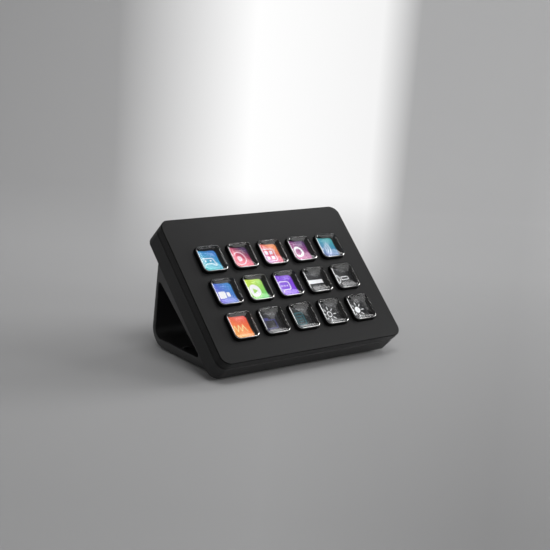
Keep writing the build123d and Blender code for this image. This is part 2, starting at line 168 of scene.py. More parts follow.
@dataclass
class Bench:
    """A mesh being shaped in edit mode by Blender's modelling operators."""

    name: str
    start: bpy.types.Mesh | None = None
    piece: bpy.types.Object = field(init=False)
    merging: ClassVar[float] = 0.001 * MM
    level_angle: ClassVar[float] = 0.4

    def __post_init__(self) -> None:
        """Makes a mesh object at the origin, empty or with the starting mesh, and opens it for editing."""
        mesh = self.start or bpy.data.meshes.new(self.name)
        self.piece = bpy.data.objects.new(self.name, mesh)
        bpy.context.scene.collection.objects.link(self.piece)
        for other in bpy.context.selected_objects:
            other.select_set(False)
        bpy.context.view_layer.objects.active = self.piece
        self.piece.select_set(True)
        bpy.ops.object.mode_set(mode="EDIT")

    @classmethod
    def copy_of(cls, node: str, name: str, flat: Matrix) -> "Bench":
        """Opens a merged copy of a construction node, so that its edges can be refined.

        Args:
            node: The CAD node's name.
            name: The new piece's name.
            flat: The matrix from the bench to the row frame.

        Returns:
            The bench with the copy on it.
        """
        mesh = frame["nodes"][node].data.copy()
        mesh.transform(flat.inverted())
        bench = cls(name, mesh)
        bpy.ops.mesh.select_all(action="SELECT")
        bpy.ops.mesh.remove_doubles(threshold=cls.merging)
        bpy.ops.mesh.dissolve_limited(angle_limit=math.radians(cls.level_angle))
        return bench

    def clear(self) -> None:
        """Deselects the whole mesh."""
        bpy.ops.mesh.select_all(action="DESELECT")

    def pick(self, kind: Kind, test: Test, sharper: float = 0.0) -> None:
        """Selects the parts of one kind that pass a test, and nothing else.

        Args:
            kind: Vertices, edges or faces.
            test: Takes a part's middle and its direction: a normal, or an edge's run.
            sharper: Edges are taken only where their faces meet at more than this many degrees.
        """
        bpy.context.tool_settings.mesh_select_mode = kind.value
        self.clear()
        mesh = bmesh.from_edit_mesh(self.piece.data)
        mesh.normal_update()
        if kind is Kind.VERTICES:
            parts = [(part, part.co, part.normal) for part in mesh.verts]
        elif kind is Kind.EDGES:
            parts = [
                (part, (part.verts[0].co + part.verts[1].co) / 2, part.verts[1].co - part.verts[0].co)
                for part in mesh.edges
                if sharper <= 0 or part.calc_face_angle(0.0) > math.radians(sharper)
            ]
        else:
            parts = [(part, part.calc_center_median(), part.normal) for part in mesh.faces]
        for part, middle, direction in parts:
            if test(middle, direction):
                part.select_set(True)
        mesh.select_flush_mode()
        bmesh.update_edit_mesh(self.piece.data)

    def paint(self, index: int, test: Test) -> None:
        """Gives a material slot to the faces that pass a test.

        Args:
            index: The slot's index.
            test: Takes a face's middle and normal.
        """
        self.pick(Kind.FACES, test)
        self.piece.active_material_index = index
        bpy.ops.object.material_slot_assign()

    def add_material(self, material: bpy.types.Material) -> int:
        """Adds a material slot and returns its index."""
        self.piece.data.materials.append(material)
        return len(self.piece.data.materials) - 1

    def box(self, size: Sequence[float], middle: Sequence[float] = (0, 0, 0)) -> None:
        """Adds a box, which stays selected.

        Args:
            size: Its three sides.
            middle: Its centre.
        """
        bpy.ops.mesh.primitive_cube_add(size=1.0, location=middle)
        bpy.ops.transform.resize(value=size, center_override=middle)

    def sheet(self, width: float, height: float, middle: Sequence[float] = (0, 0, 0)) -> None:
        """Adds a flat rectangle, which stays selected.

        Args:
            width: Its side along x.
            height: Its side along y.
            middle: Its centre.
        """
        bpy.ops.mesh.primitive_plane_add(size=1.0, location=middle)
        bpy.ops.transform.resize(value=(width, height, 1.0), center_override=middle)

    def round_corners(self, radius: float, segments: int) -> None:
        """Rounds the corners of the selected flat face."""
        bpy.ops.mesh.bevel(offset=radius, segments=segments, affect="VERTICES")

    def close(self, place: Matrix, smooth_angle: float = 30.0) -> bpy.types.Object:
        """Ends editing, smooths the shading and places the mesh in the row frame.

        Args:
            place: The matrix from the bench to the row frame.
            smooth_angle: Edges sharper than this many degrees stay crisp.

        Returns:
            The finished piece.
        """
        bpy.ops.object.mode_set(mode="OBJECT")
        self.piece.data.transform(place)
        bpy.ops.object.shade_smooth_by_angle(angle=math.radians(smooth_angle))
        return self.piece

    def close_solid(self, place: Matrix) -> bpy.types.Object:
        """Turns every face outwards, then ends editing as close does.

        Args:
            place: The matrix from the bench to the row frame.

        Returns:
            The finished piece.
        """
        bpy.ops.mesh.select_all(action="SELECT")
        bpy.ops.mesh.normals_make_consistent(inside=False)
        return self.close(place)


def flatten_shading(piece: bpy.types.Object) -> None:
    """Keeps a part's broad faces flat in the shading beside their eased edges.

    Args:
        piece: The part, which is the active object.
    """
    weighted = piece.modifiers.new("flat_faces", "WEIGHTED_NORMAL")
    weighted.weight = 100
    weighted.keep_sharp = True
    bpy.ops.object.modifier_apply(modifier=weighted.name)


def settle(piece: bpy.types.Object, body: str) -> None:
    """Lets a finished piece ride on its body.

    Args:
        piece: The piece.
        body: The body that carries it.
    """
    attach(piece, body)
    log.info("%s rides on %s, %d faces", piece.name, body, len(piece.data.polygons))


# ------------------------------------------------------------------------------------- finishes
def scaled(colour: Colour, share: float) -> Colour:
    """Multiplies a colour by a share."""
    red, green, blue = colour
    return red * share, green * share, blue * share


@dataclass
class Shading:
    """A new material with a Principled shader and short ways to add nodes to it."""

    name: str
    material: bpy.types.Material = field(init=False)
    shader: bpy.types.ShaderNode = field(init=False)
    output: bpy.types.ShaderNode = field(init=False)

    def __post_init__(self) -> None:
        """Makes the material and finds its shader and output."""
        self.material = bpy.data.materials.new(self.name)
        self.material.use_nodes = True
        self.shader = self.material.node_tree.nodes["Principled BSDF"]
        self.output = self.material.node_tree.nodes["Material Output"]

    def set(self, **values: object) -> None:
        """Sets the shader's own sockets, each named with underscores for spaces."""
        for name, value in values.items():
            self.shader.inputs[name.replace("_", " ")].default_value = value

    def node(self, kind: str, inputs: dict[str, object] | None = None, **values: object) -> bpy.types.ShaderNode:
        """Adds a node.

        Args:
            kind: The node's type, without the ShaderNode prefix.
            inputs: Values of its input sockets, by socket name.
            values: Attributes of the node.

        Returns:
            The new node.
        """
        made = self.material.node_tree.nodes.new(f"ShaderNode{kind}")
        for name, value in values.items():
            setattr(made, name, value)
        for name, value in (inputs or {}).items():
            made.inputs[name].default_value = value
        return made

    def link(self, source: Socket, target: Socket) -> None:
        """Joins two sockets."""
        self.material.node_tree.links.new(source, target)

    def feed(self, socket: str, source: Socket) -> None:
        """Joins a value or a colour to one of the shader's own sockets."""
        self.link(source, self.shader.inputs[socket])

    def coordinates(
        self,
        scale: Sequence[float] = (1, 1, 1),
        turn: Sequence[float] = (0, 0, 0),
        middle: Sequence[float] = (0, 0, 0),
    ) -> Socket:
        """Reads Object coordinates through a Mapping node.

        Args:
            scale: Stretch along each axis.
            turn: Turn about each axis, in radians.
            middle: The point that becomes the pattern's own origin.

        Returns:
            The mapped vector.
        """
        mapping = self.node("Mapping", {"Location": middle, "Rotation": turn, "Scale": scale}, vector_type="TEXTURE")
        self.link(self.node("TexCoord").outputs["Object"], mapping.inputs["Vector"])
        return mapping.outputs["Vector"]

    def split(self, vector: Socket) -> bpy.types.NodeOutputs:
        """Takes a vector apart.

        Args:
            vector: The vector.

        Returns:
            Its parts, named X, Y and Z.
        """
        parts = self.node("SeparateXYZ")
        self.link(vector, parts.inputs["Vector"])
        return parts.outputs

    def noise(self, vector: Socket, size: float, detail: float = 2.0) -> Socket:
        """Adds a noise.

        Args:
            vector: Its coordinates.
            size: How wide its features are, about, in metres.
            detail: How many finer layers lie on them.

        Returns:
            The noise's value, mostly between 0.3 and 0.7.
        """
        texture = self.node("TexNoise", {"Scale": 1.0 / size, "Detail": detail})
        self.link(vector, texture.inputs["Vector"])
        return texture.outputs["Fac"]

    def ranged(self, value: Socket, low: float, high: float, start: float = 0.3, end: float = 0.7) -> Socket:
        """Maps one range of values to another.

        Args:
            value: The value.
            low: What start becomes.
            high: What end becomes.
            start: The lowest value that is told apart.
            end: The highest value that is told apart.

        Returns:
            The mapped value.
        """
        mapped = self.node("MapRange", {"From Min": start, "From Max": end, "To Min": low, "To Max": high})
        self.link(value, mapped.inputs["Value"])
        return mapped.outputs["Result"]

    def math(self, operation: str, first: Socket, second: Socket | float) -> Socket:
        """Joins two values by one of the Math node's operations.

        Args:
            operation: The node's operation.
            first: A value.
            second: A value or a number.

        Returns:
            The result.
        """
        joined = self.node("Math", operation=operation)
        self.link(first, joined.inputs[0])
        if isinstance(second, (int, float)):
            joined.inputs[1].default_value = second
        else:
            self.link(second, joined.inputs[1])
        return joined.outputs["Value"]

    def blend(self, value: Socket, stops: Sequence[tuple[float, Colour]]) -> Socket:
        """Adds a colour ramp.

        Args:
            value: Where on the ramp each point lies.
            stops: The ramp's places and colours.

        Returns:
            The colour.
        """
        ramp = self.node("ValToRGB")
        elements = ramp.color_ramp.elements
        for element, (place, colour) in zip(elements, stops[:2]):
            element.position = place
            element.color = (*colour, 1.0)
        for place, colour in stops[2:]:
            elements.new(place).color = (*colour, 1.0)
        self.link(value, ramp.inputs["Fac"])
        return ramp.outputs["Color"]

    def shade(self, value: Socket, colour: Colour, shares: Pair, ends: Pair = (0.3, 0.7)) -> Socket:
        """Varies a colour's brightness along a pattern.

        Args:
            value: The pattern's value.
            colour: The colour.
            shares: The colour's shares at the two ends.
            ends: The pattern's values at the two ends.

        Returns:
            The colour.
        """
        return self.blend(value, [(end, scaled(colour, share)) for end, share in zip(ends, shares)])

    def roughen(self, value: Socket, middle: float, spread: float) -> None:
        """Varies the roughness about a middle value along a pattern."""
        self.feed("Roughness", self.ranged(value, middle - spread, middle + spread))

    def bump(self, height: Socket, distance: float) -> None:
        """Raises the surface.

        Args:
            height: The height pattern, from 0 to 1.
            distance: How far it raises the surface at most, in metres.
        """
        bump = self.node("Bump", {"Distance": distance, "Strength": 1.0})
        self.link(height, bump.inputs["Height"])
        self.feed("Normal", bump.outputs["Normal"])

    def light(self, colour: Socket, strength: float) -> None:
        """Makes the surface a lit part of the display.

        Args:
            colour: The light's colour.
            strength: How bright it is.
        """
        self.feed("Emission Color", colour)
        self.set(Base_Color=(0.01, 0.01, 0.01, 1.0), Roughness=0.3, Emission_Strength=strength)


class Finish(Protocol):
    """What every surface finish offers."""

    def material(self) -> bpy.types.Material:
        """Builds the finish.

        Returns:
            The finished material.
        """


@dataclass(frozen=True)
class MouldedPlastic:
    """Plastic with a fine moulded grain and faint cloudiness."""

    name: str
    colour: Colour
    roughness: float = 0.5
    grain: float = 0.35 * MM
    depth: float = 0.006 * MM
    cloud: float = 14 * MM
    mottle: Pair = (0.88, 1.12)
    spread: float = 0.04
    specular: float = 0.5

    def material(self) -> bpy.types.Material:
        """Builds the finish.

        Returns:
            The finished material.
        """
        shading = Shading(self.name)
        vector = shading.coordinates()
        clouds = shading.noise(vector, self.cloud, 3.0)
        shading.feed("Base Color", shading.shade(clouds, self.colour, self.mottle))
        grain = shading.noise(vector, self.grain)
        shading.roughen(grain, self.roughness, self.spread)
        shading.bump(grain, self.depth)
        shading.set(Specular_IOR_Level=self.specular)
        return shading.material


@dataclass(frozen=True)
class MouldedRubber:
    """Soft dull rubber with specks and a dusty bloom."""

    name: str
    colour: Colour
    roughness: float = 0.82
    spread: float = 0.07
    speck: float = 0.25 * MM
    speck_height: float = 0.02 * MM
    bloom: float = 9 * MM
    mottle: Pair = (0.8, 1.3)

    def material(self) -> bpy.types.Material:
        """Builds the finish.

        Returns:
            The finished material.
        """
        shading = Shading(self.name)
        vector = shading.coordinates()
        specks = shading.noise(vector, self.speck, 4.0)
        bloom = shading.noise(vector, self.bloom)
        shading.feed("Base Color", shading.shade(bloom, self.colour, self.mottle))
        shading.roughen(specks, self.roughness, self.spread)
        shading.bump(specks, self.speck_height)
        return shading.material


@dataclass(frozen=True)
class DrawnMetal:
    """Sheet or turned metal with fine lines along one direction."""

    name: str
    colour: Colour
    roughness: float = 0.35
    spread: float = 0.08
    line: float = 0.15 * MM
    line_height: float = 0.003 * MM
    stretch: tuple[float, float, float] = (12.0, 1.0, 1.0)
    mottle: Pair = (0.85, 1.0)

    def material(self) -> bpy.types.Material:
        """Builds the finish.

        Returns:
            The finished material.
        """
        shading = Shading(self.name)
        lines = shading.noise(shading.coordinates(scale=self.stretch), self.line, 3.0)
        shading.feed("Base Color", shading.shade(lines, self.colour, self.mottle))
        shading.roughen(lines, self.roughness, self.spread)
        shading.bump(lines, self.line_height)
        shading.set(Metallic=1.0)
        return shading.material


@dataclass(frozen=True)
class ClearAcrylic:
    """Polished clear acrylic with the faintest handling haze."""

    name: str
    colour: Colour = (0.97, 0.98, 1.0)
    mottle: Pair = (1.0, 0.985)
    refraction: float = 1.49
    patch: float = 6 * MM
    patch_ends: Pair = (0.45, 0.75)
    haze: Pair = (0.08, 0.14)

    def material(self) -> bpy.types.Material:
        """Builds the finish.

        Returns:
            The finished material.
        """
        shading = Shading(self.name)
        haze = shading.noise(shading.coordinates(), self.patch, 3.0)
        shading.feed("Roughness", shading.ranged(haze, *self.haze, *self.patch_ends))
        shading.feed("Base Color", shading.shade(haze, self.colour, self.mottle, (0.2, 0.8)))
        shading.set(Transmission_Weight=1.0, IOR=self.refraction)
        return shading.material


@dataclass(frozen=True)
class PolishedEdge:
    """The keys' polished outer edge, which catches every light as a fine line."""

    name: str
    colour: Colour = (0.012, 0.012, 0.013)
    mottle: Pair = (1.0, 1.5)
    refraction: float = 3.8
    wear: float = 1.5 * MM
    roughness: float = 0.11
    spread: float = 0.03

    def material(self) -> bpy.types.Material:
        """Builds the finish.

        Returns:
            The finished material.
        """
        shading = Shading(self.name)
        wear = shading.noise(shading.coordinates(), self.wear, 3.0)
        shading.roughen(wear, self.roughness, self.spread)
        shading.feed("Base Color", shading.shade(wear, self.colour, self.mottle))
        shading.set(IOR=self.refraction)
        return shading.material


@dataclass(frozen=True)
class DarkGlass:
    """The display's black polished glass, with faint smears."""

    name: str
    colour: Colour = (0.004, 0.004, 0.005)
    mottle: Pair = (1.0, 1.6)
    smear: float = 5 * MM
    stretch: tuple[float, float, float] = (3.0, 1.0, 1.0)
    roughness: Pair = (0.05, 0.16)

    def material(self) -> bpy.types.Material:
        """Builds the finish.

        Returns:
            The finished material.
        """
        shading = Shading(self.name)
        smears = shading.noise(shading.coordinates(scale=self.stretch), self.smear, 3.0)
        shading.feed("Roughness", shading.ranged(smears, *self.roughness))
        shading.feed("Base Color", shading.shade(smears, self.colour, self.mottle))
        return shading.material


@dataclass(frozen=True)
class StripedFilm:
    """Flexible film with printed conductors side by side."""

    name: str
    colour: Colour
    stripe: Colour
    roughness: float = 0.35
    pitch: float = 0.5 * MM
    stripe_height: float = 0.01 * MM

    def material(self) -> bpy.types.Material:
        """Builds the finish.

        Returns:
            The finished material.
        """
        shading = Shading(self.name)
        # a band of the Wave texture is pi / 10 wide at scale 1
        wave = shading.node("TexWave", {"Scale": math.pi / 10 / self.pitch}, bands_direction="X")
        shading.link(shading.coordinates(), wave.inputs["Vector"])
        shading.feed("Base Color", shading.blend(wave.outputs["Fac"], ((0.4, self.colour), (0.6, self.stripe))))
        shading.set(Roughness=self.roughness)
        shading.bump(wave.outputs["Fac"], self.stripe_height)
        return shading.material


@dataclass(frozen=True)
class SolderMask:
    """Green laminate with tracks showing faintly through its mask."""

    name: str
    colour: Colour
    track: Colour
    roughness: float = 0.3
    cell: float = 6 * MM
    track_width: float = 0.04
    track_height: float = 0.02 * MM

    def material(self) -> bpy.types.Material:
        """Builds the finish.

        Returns:
            The finished material.
        """
        shading = Shading(self.name)
        values = {
            "Scale": 1 / self.cell,
            "Color1": (*self.colour, 1.0),
            "Color2": (*scaled(self.colour, 0.8), 1.0),
            "Mortar": (*self.track, 1.0),
            "Mortar Size": self.track_width,
        }
        cells = shading.node("TexBrick", values)
        shading.link(shading.coordinates(), cells.inputs["Vector"])
        shading.feed("Base Color", cells.outputs["Color"])
        shading.set(Roughness=self.roughness)
        shading.bump(cells.outputs["Fac"], self.track_height)
        return shading.material


@dataclass(frozen=True)
class LitPicture:
    """The ground of a lit picture: a colour that runs smoothly from side to side."""

    name: str
    stops: tuple[tuple[float, Colour], ...]
    angle: float

    def material(self, face: TiltedFace, middle: Vector, size: float) -> bpy.types.Material:
        """Builds the picture's ground.

        Args:
            face: The pad's face, which the picture lies parallel to.
            middle: The picture's centre in the row frame.
            size: The picture's side.

        Returns:
            The lit material.
        """
        shading = Shading(self.name)
        turned = face.matrix().to_3x3() @ Matrix.Rotation(math.radians(self.angle), 3, "Z")
        across = shading.split(shading.coordinates((size, size, size), turned.to_euler(), middle))["X"]
        shading.light(shading.blend(shading.ranged(across, 0.0, 1.0, -0.5, 0.5), self.stops), 1.0)
        return shading.material


@dataclass(frozen=True)
class LitLine:
    """The light of a picture's lines, a little uneven as a backlight is."""

    name: str
    colour: Colour
    strength: float
    patch: float = 8 * MM
    mottle: Pair = (0.94, 1.0)

    def material(self) -> bpy.types.Material:
        """Builds the finish.

        Returns:
            The finished material.
        """
        shading = Shading(self.name)
        glow = shading.noise(shading.coordinates(), self.patch, 1.0)
        shading.light(shading.shade(glow, self.colour, self.mottle), self.strength)
        return shading.material


# ------------------------------------------------------------------------------------- the pad
@dataclass(frozen=True)
class Dish:
    """The hollow of a key's top: a narrow steep shoulder beside the rim, then a shallow bowl."""

    rim: float = 0.25 * MM
    shoulder: float = 0.13 * MM
    shoulder_power: float = 32.0
    bowl: float = 0.45 * MM
    bowl_power: float = 2.0
    shares: tuple[float, ...] = (
        1.0, 0.994, 0.987, 0.979, 0.97, 0.96, 0.948, 0.933, 0.915, 0.89, 0.855, 0.8, 0.72, 0.6, 0.45, 0.25,
    )

    def fall(self, share: float) -> float:
        """Gives how far the dish lies below the rim at a share of the way out."""
        return self.shoulder * (1 - share**self.shoulder_power) + self.bowl * (1 - share**self.bowl_power)


@dataclass
class KeyCaps:
    """The clear keys: dark-walled blocks with rounded corners, a dished clear top and a hidden flange."""

    face: TiltedFace
    acrylic: bpy.types.Material
    edge_finish: bpy.types.Material
    wall: bpy.types.Material
    dish: Dish = Dish()
    corner: float = 2.9 * MM
    corner_steps: int = 9
    edge: float = 0.6 * MM
    edge_steps: int = 4
    mask: float = 0.9 * MM
    glint: Span = Span(0.03, 0.97)
    smooth_angle: float = 40.0

    def node_names(self) -> list[str]:
        """Lists the key cap nodes in order."""
        return sorted(name for name in frame["nodes"] if name.startswith("key_cap_"))

    def body_of(self, node: str) -> str:
        """Finds the body that holds a node."""
        bodies = frame["record"]["behaviour"]["bodies"]
        return next(body for body, members in bodies.items() if node in members)

    def place_of(self, node: str) -> Pair:
        """Gives a key's middle across and up the face."""
        points = self.face.points(node)
        return Span.of(p.x for p in points).middle, Span.of(p.y for p in points).middle

    def model(self) -> bpy.types.Object:
        """Models one key about its own middle, on the face plane.

        Returns:
            The key, flat on the bench.
        """
        points = self.face.points(self.node_names()[0])
        heights = Span.of(p.z for p in points)
        side = Span.of(p.x for p in points if p.z > heights.high / 4).size
        across = Span.of(p.x for p in points)
        lip = (across.size - side) / 2
        lip_levels = Span.of(p.z for p in points if p.x < across.low + lip / 2)
        bench = Bench("key_model")
        clear, polished, dark = (bench.add_material(each) for each in (self.acrylic, self.edge_finish, self.wall))
        bench.box((side, side, heights.size), (0, 0, heights.middle))
        bench.pick(Kind.EDGES, lambda middle, run: abs(run.z) > heights.size / 2)
        bpy.ops.mesh.bevel(offset=self.corner, segments=self.corner_steps, affect="EDGES")
        bench.pick(Kind.FACES, lambda middle, normal: normal.z > FLAT)
        bpy.ops.mesh.bevel(offset=self.edge, segments=self.edge_steps, affect="EDGES")
        # the flange: the lowest band of the walls, pushed out
        bpy.ops.mesh.select_all(action="SELECT")
        bpy.ops.mesh.bisect(plane_co=(0, 0, lip_levels.high), plane_no=(0, 0, 1))
        bench.pick(Kind.FACES, lambda middle, normal: abs(normal.z) < 1 - FLAT and middle.z < lip_levels.high)
        bpy.ops.mesh.extrude_region_shrink_fatten(
            MESH_OT_extrude_region={}, TRANSFORM_OT_shrink_fatten={"value": lip}
        )
        self.sink_dish(bench, heights.high, side / 2 - self.edge)
        self.mark_window(bench, heights.low, side / 2)
        bench.paint(clear, lambda middle, normal: True)
        bench.paint(dark, lambda middle, normal: middle.z < heights.high - self.edge and normal.z < 0.5)
        # the window: the one face of the underside that lies about the key's middle
        bench.paint(
            clear,
            lambda middle, normal: normal.z < -FLAT
            and middle.z < heights.low + HAIR
            and middle.xy.length < (side / 2 - self.mask) / 2,
        )
        bench.paint(
            polished,
            lambda middle, normal: middle.z > heights.high - self.edge
            and self.glint.low < normal.z < self.glint.high
            and normal.xy.dot(middle.xy) > 0,
        )
        return bench.close(Matrix.Identity(4), self.smooth_angle)

    def sink_dish(self, bench: Bench, top: float, reach: float) -> None:
        """Draws rings inwards in the top and lowers each one into the dish.

        Args:
            bench: The key under work.
            top: The level of the rim.
            reach: Half the width of the flat top.
        """
        bench.pick(Kind.FACES, lambda middle, normal: normal.z > FLAT and middle.z > top - HAIR)
        width, level = reach, top
        for share in self.dish.shares:
            next_width, next_level = (reach - self.dish.rim) * share, top - self.dish.fall(share)
            scale = next_width / width
            bpy.ops.mesh.extrude_region_move(TRANSFORM_OT_translate={"value": (0, 0, next_level - level)})
            bpy.ops.transform.resize(value=(scale, scale, 1.0), center_override=(0, 0, next_level))
            width, level = next_width, next_level
        bpy.ops.mesh.poke()

    def mark_window(self, bench: Bench, bottom: float, reach: float) -> None:
        """Divides the underside into a dark border and a clear window.

        Args:
            bench: The key under work.
            bottom: The level of the underside.
            reach: Half the width of the key above its flange.
        """
        bench.pick(Kind.FACES, lambda middle, normal: normal.z < -FLAT and middle.xy.length < reach / 4)
        share = (reach - self.mask) / reach
        bpy.ops.mesh.extrude_region_move()
        bpy.ops.transform.resize(value=(share, share, 1.0), center_override=(0, 0, bottom))

    def build(self) -> dict[str, Pair]:
        """Copies the key to every place and lets each copy stand for its node.

        Returns:
            Each key's middle across and up the face, by node name.
        """
        model = self.model()
        places = {}
        for node in self.node_names():
            x, v = self.place_of(node)
            key = bpy.data.objects.new(node.replace("key_cap", "clear_key"), model.data.copy())
            bpy.context.scene.collection.objects.link(key)
            key.data.transform(self.face.matrix(x, v))
            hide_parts(node)
            settle(key, self.body_of(node))
            places[node] = (x, v)
        bpy.data.objects.remove(model)
        return places


@dataclass
class DomeMat:
    """The rubber mat under the keys, cut into a sheet and a separate wall for each key."""

    face: TiltedFace
    places: dict[str, Pair]
    node: str = "dome_mat"
    slot: str = "mat_rubber"
    spare: float = 0.005

    def cut(self, name: str, level: float, dropped: Callable[[Vector], bool]) -> Bench:
        """Opens a copy of the mat, cut level with the sheet's top, and drops a part of it.

        Args:
            name: The new piece's name.
            level: The height of the sheet's top.
            dropped: Takes a face's middle and says whether the face goes.

        Returns:
            The bench with what is left.
        """
        bench = Bench.copy_of(self.node, name, self.face.matrix())
        bpy.ops.mesh.select_all(action="SELECT")
        bpy.ops.mesh.bisect(plane_co=(0, 0, level), plane_no=(0, 0, 1))
        bench.pick(Kind.FACES, lambda middle, normal: dropped(middle))
        bpy.ops.mesh.delete(type="FACE")
        return bench

    def close_rim(self, bench: Bench, level: float, place: Pair, reach: float) -> None:
        """Closes the cut between the inner and the outer side of one wall.

        Args:
            bench: The bench with the cut mesh.
            level: The height of the cut.
            place: The wall's middle across and up the face.
            reach: From the wall's middle to its outer side.
        """
        x, v = place
        bench.pick(
            Kind.EDGES,
            lambda middle, run: abs(middle.z - level) < HAIR / 2
            and max(abs(middle.x - x), abs(middle.y - v)) < reach + HAIR,
        )
        bpy.ops.mesh.bridge_edge_loops()

    def wall_model(self, level: float, reach: float) -> bpy.types.Object:
        """Takes the first key's wall out of the mat, a hair above the sheet.

        Args:
            level: The height of the sheet's top.
            reach: From the wall's middle to its outer side.

        Returns:
            The wall, flat on the bench and in its own place.
        """
        x, v = next(iter(self.places.values()))
        bench = self.cut(
            "wall_model",
            level,
            lambda middle: middle.z < level + HAIR or max(abs(middle.x - x), abs(middle.y - v)) > reach + HAIR,
        )
        self.close_rim(bench, level, (x, v), reach)
        bench.pick(Kind.VERTICES, lambda middle, normal: middle.z < level + HAIR)
        bpy.ops.transform.translate(value=(0, 0, HAIR))
        return bench.close_solid(Matrix.Identity(4))

    def build(self) -> None:
        """Makes the sheet and a wall for each key, and lets the sheet stand for the node."""
        points = self.face.points(self.node)
        level, top = sorted({round(point.z, 6) for point in points})[-2:]
        across = Span.of(point.x for point in points if point.z > top - HAIR)
        reach = (across.size - Span.of(x for x, v in self.places.values()).size) / 2
        bench = self.cut("mat_sheet", level, lambda middle: middle.z > level + HAIR)
        for place in self.places.values():
            self.close_rim(bench, level, place, reach)
        sheet = bench.close_solid(self.face.matrix())
        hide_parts(self.node)
        settle(sheet, Bodies.PAD.value)
        model = self.wall_model(level, reach)
        start_x, start_v = next(iter(self.places.values()))
        for node, (x, v) in self.places.items():
            wall = bpy.data.objects.new(node.replace("key_cap", "mat_wall"), model.data.copy())
            bpy.context.scene.collection.objects.link(wall)
            wall.data.transform(self.face.matrix(x - start_x, v - start_v))
            settle(wall, Bodies.PAD.value)
            foot = self.face.matrix(x, v, level).translation
            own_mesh(wall)
        bpy.data.objects.remove(model)


@dataclass
class Faceplate:
    """The lift-off front: its holes' edges are eased and a fine shadow line runs round its face: a real groove,
    finished darker as painted shade.
    """

    face: TiltedFace
    line_finish: bpy.types.Material
    node: str = "faceplate"
    hole_edge: float = 0.22 * MM
    hole_steps: int = 3
    hole_angle: float = 60.0
    line_depth: float = 0.25 * MM
    chamfer_rise: Span = Span(0.6, 0.8)
    chamfer_depth: Span = Span(0.3, 1.2)

    def build(self) -> None:
        """Refines a copy of the faceplate and lets it stand for the node."""
        flat = self.face.matrix()
        points = self.face.points(self.node)
        across, along = Span.of(p.x for p in points), Span.of(p.y for p in points)
        chamfer = min(across.high - p.x for p in points if p.z > -HAIR)
        border = 2 * chamfer
        bench = Bench.copy_of(self.node, "front_face", flat)
        line = bench.add_material(self.line_finish)
        bench.pick(
            Kind.EDGES,
            lambda middle, run: middle.z > -HAIR
            and across.low + border < middle.x < across.high - border
            and along.low + border < middle.y < along.high - border,
            sharper=self.hole_angle,
        )
        bpy.ops.mesh.bevel(offset=self.hole_edge, segments=self.hole_steps, affect="EDGES")
        bench.pick(
            Kind.FACES,
            lambda middle, normal: self.chamfer_rise.low < normal.z < self.chamfer_rise.high
            and self.chamfer_depth.low < -middle.z / chamfer < self.chamfer_depth.high,
        )
        bpy.ops.mesh.extrude_region_shrink_fatten(
            MESH_OT_extrude_region={}, TRANSFORM_OT_shrink_fatten={"value": -self.line_depth}
        )
        # the groove's faces take the darker, duller finish: painted shade in a real groove
        bpy.context.object.active_material_index = line
        bpy.ops.object.material_slot_assign()
        piece = bench.close(flat)
        flatten_shading(piece)
        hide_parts(self.node)
        settle(piece, Bodies.FACEPLATE.value)


@dataclass(frozen=True)
class EasedPart:
    """A moulded part whose sharp outer edges are eased by a small radius."""

    node: str
    piece_name: str
    body: Bodies
    slot: str
    radius: float
    steps: int = 2
    sharper: float = 50.0

    def build(self) -> None:
        """Refines a copy of the finished node and lets it stand for it."""
        piece = Bench.copy_of(self.node, self.piece_name, Matrix.Identity(4)).close(Matrix.Identity(4))
        bevel = piece.modifiers.new("eased_edges", "BEVEL")
        bevel.width = self.radius
        bevel.segments = self.steps
        bevel.limit_method = "ANGLE"
        bevel.angle_limit = math.radians(self.sharper)
        bpy.ops.object.modifier_apply(modifier=bevel.name)
        flatten_shading(piece)
        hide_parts(self.node)
        settle(piece, self.body.value)


